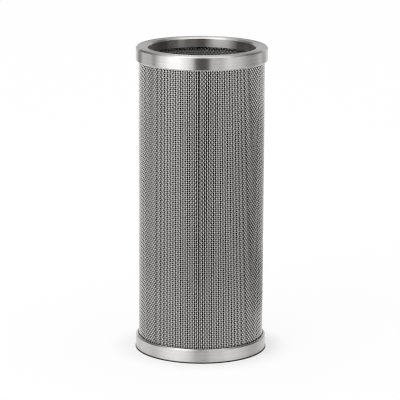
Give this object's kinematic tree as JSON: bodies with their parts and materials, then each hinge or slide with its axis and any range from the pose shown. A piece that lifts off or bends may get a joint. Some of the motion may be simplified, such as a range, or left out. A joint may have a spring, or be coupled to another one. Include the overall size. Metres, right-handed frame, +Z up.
{
  "type": "wire mesh filter cylinder",
  "caption": "Open-ended cylindrical strainer element: a sleeve of plain woven wire cloth with one long seam, seated in a turned steel ring at each end.",
  "frame": {"origin": "centre of the base, on the face that the lower ring stands on", "axes": "+Z up along the cylinder's axis; -Y towards the front, where the long seam of the sleeve runs"},
  "size_m": [0.08, 0.08, 0.1882],
  "materials": {
    "ring_steel": "turned, satin",
    "mesh_wire": "drawn wire, dull"
  },
  "bodies": {
    "root": {"top_ring": "ring_steel", "bottom_ring": "ring_steel", "mesh_sleeve": "mesh_wire"}
  },
  "joints": []
}
